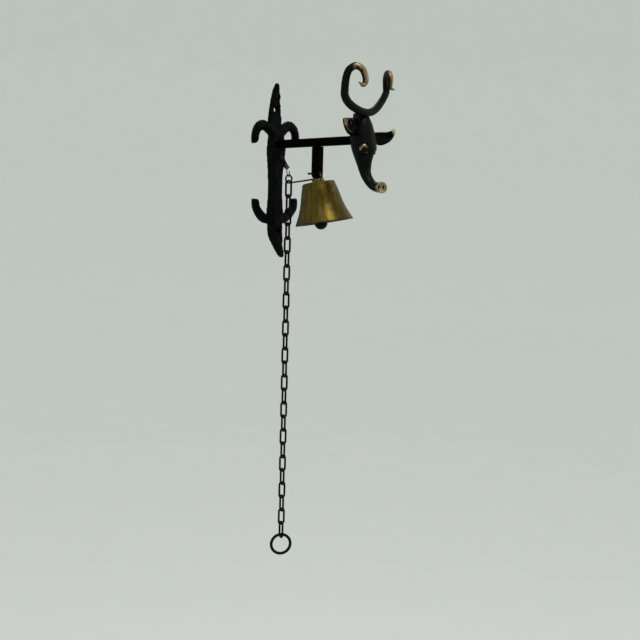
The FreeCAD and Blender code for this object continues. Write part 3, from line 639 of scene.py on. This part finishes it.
def horns():
    """One bent rod: fine ribs along it, brass on the curls, dark red inside the right loop."""
    halves = {}
    for side, stations in ((-1, HORN_LEFT), (1, HORN_RIGHT)):
        halves[side] = [(side * x * HORN_SPAN, y, z, HORN_BAR * size) for x, y, z, size in stations]
    rows = list(reversed(halves[-1])) + [HORN_MIDDLE] + halves[1]
    samples = catmull(rows, SAMPLES)
    middle = len(halves[-1]) * SAMPLES
    last = len(samples) - 1
    along = np.array([(k - middle) / (middle if k < middle else last - middle) for k in range(last + 1)])

    def ribs(k, angle):
        rib = math.sin(9 * angle + 1.3 * math.sin(k * 0.07))
        wander = math.sin(0.9 * k + 2 * angle)
        return 0.016 * (1 - abs(along[k]) ** 3) * rib + 0.008 * wander - 0.014

    obj = tube("horns_rod", samples[:, :3], samples[:, 3], AROUND, ribs)
    mesh = obj.data
    points, normals = arrays(mesh)
    points = keep_inside("horns", points)
    set_points(mesh, points)
    outward = np.repeat(np.abs(along), AROUND)
    right = points[:, 0] > 0
    facing = np.clip(-normals[:, 1] * 0.9 + normals[:, 2] * 0.3 + 0.15, 0, 1)
    curled = np.clip((-points[:, 1] - 119.5) / 4.0, 0, 1) * (points[:, 2] > 70)
    end = np.clip((outward - 0.86) / 0.08, 0, 1)
    inner = np.clip(-normals[:, 0] * 1.5 - 0.2, 0, 1) * np.clip((outward - 0.60) / 0.06, 0, 1)
    red = right * inner * np.clip((0.86 - outward) / 0.04, 0, 1)
    set_attribute(mesh, "hollow", 0.9 * red)
    set_attribute(mesh, "brass", np.maximum(curled * facing * 0.85, end * np.where(right, 0.35, 0.7)))
    mesh.materials.append(HORN)
    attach(obj, "bracket")
    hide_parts("horns")


# ------------------------------------------------------------------ return spring
def return_spring():
    """A copy of the CAD coil with its own material and its transform baked in; its top hook sits at the
    bracket and its low one at the bell's lever.
    """
    obj = link_object("return_spring_coil", NODES["return_spring"].data.copy())
    obj.data.materials.clear()
    obj.data.materials.append(COIL)
    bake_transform(obj)
    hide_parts("return_spring")


wall_plate()
head()
ear("ear_left")
ear("ear_right")
horns()
return_spring()


# ------------------------------------------------------------------ CAD nodes that keep their own mesh
KEPT = {
    "arm_bar": BAR,
    "drop_post": BAR,
    "spring_lug": STEEL,
    "pivot_pin": STEEL,
    "bell_shell": BELL,
    "bell_yoke": YOKE,
    "lever_wire": LEVER,
    "clapper_staple": YOKE,
    "clapper_rod": STEEL,
    "clapper_ball": STEEL,
    "pull_ring": CHAIN,
}
for k in range(LINKS):
    KEPT["chain_link_%02d" % (k + 1)] = CHAIN
for node, material in KEPT.items():
    for material_slot in NODES[node].material_slots:
        material_slot.material = material


# ------------------------------------------------------------------ floor, light and camera
# The floor's profile: radius and rise of each of its rings, in metres.
FLOOR_RINGS = [
    (0.02, 0.0), (2.0, 0.0), (5.0, 0.0), (7.0, 0.12), (8.5, 0.55), (9.6, 1.3), (10.3, 2.3), (10.7, 3.6),
]
FLOOR_STEPS = 96
FLOOR_GAP = 0.9


def floor():
    """A pale round floor, well below the object, that sweeps up far away, so that no edge of it shows."""
    build = bmesh.new()
    rows = []
    for radius, rise in FLOOR_RINGS:
        row = []
        for k in range(FLOOR_STEPS):
            angle = 2 * math.pi * k / FLOOR_STEPS
            row.append(build.verts.new((radius * math.cos(angle), radius * math.sin(angle), rise)))
        rows.append(row)
    build.faces.new(rows[0])
    for inner, outer in zip(rows, rows[1:]):
        for k in range(FLOOR_STEPS):
            n = (k + 1) % FLOOR_STEPS
            build.faces.new((inner[k], outer[k], outer[n], inner[n]))
    mesh = bpy.data.meshes.new("floor")
    build.to_mesh(mesh)
    build.free()
    mesh.shade_smooth()
    mesh.materials.append(plain_floor())
    obj = link_object("floor", mesh)
    obj.location = (0, 0, CAD_BOX[0][2] - FLOOR_GAP)


def area_light(name, place, target, size, power, colour):
    data = bpy.data.lights.new(name, "AREA")
    data.shape = "RECTANGLE"
    data.size = size
    data.size_y = size
    data.energy = power
    data.color = colour
    obj = bpy.data.objects.new(name, data)
    bpy.context.scene.collection.objects.link(obj)
    obj.location = place
    direction = Vector(target) - Vector(place)
    obj.rotation_mode = "QUATERNION"
    obj.rotation_quaternion = direction.to_track_quat("-Z", "Y")


def world_light(colour, strength):
    world = bpy.data.worlds.new("pale_room")
    world.use_nodes = True
    background = world.node_tree.nodes["Background"]
    background.inputs["Color"].default_value = (*colour, 1.0)
    background.inputs["Strength"].default_value = strength
    bpy.context.scene.world = world


def camera(place, turn, pitch, lean, lens):
    """turn: degrees round the object from its front; pitch: downwards; lean: the camera's roll."""
    data = bpy.data.cameras.new("camera")
    data.sensor_width = 36.0
    data.lens = lens
    obj = bpy.data.objects.new("camera", data)
    bpy.context.scene.collection.objects.link(obj)
    a, p, r = (math.radians(v) for v in (turn, pitch, lean))
    forward = Vector((-math.sin(a) * math.cos(p), math.cos(a) * math.cos(p), -math.sin(p)))
    right = Vector((math.cos(a), math.sin(a), 0.0))
    up = right.cross(forward)
    right, up = right * math.cos(r) + up * math.sin(r), up * math.cos(r) - right * math.sin(r)
    matrix = Matrix((right, up, -forward)).transposed().to_4x4()
    matrix.translation = Vector(place) * MM
    obj.matrix_world = matrix
    data.clip_start = 0.01
    data.clip_end = 50.0
    bpy.context.scene.camera = obj


bpy.context.scene.view_settings.view_transform = "Standard"
floor()
world_light((0.66, 0.69, 0.66), 1.0)
area_light("key", (-0.35, -0.90, 1.55), (0, -0.06, -0.02), 0.45, 15.0, (1.0, 0.985, 0.95))
area_light("right_fill", (1.3, -1.5, 0.5), (0, -0.06, 0), 0.9, 5.0, (0.97, 0.99, 1.0))
area_light("back_rim", (0.9, 0.9, 1.2), (0, -0.06, 0), 0.8, 3.0, (1.0, 1.0, 1.0))
camera((-900.25, -816.53, 8.91), -50.165, 7.238, 1.467, 69.79)
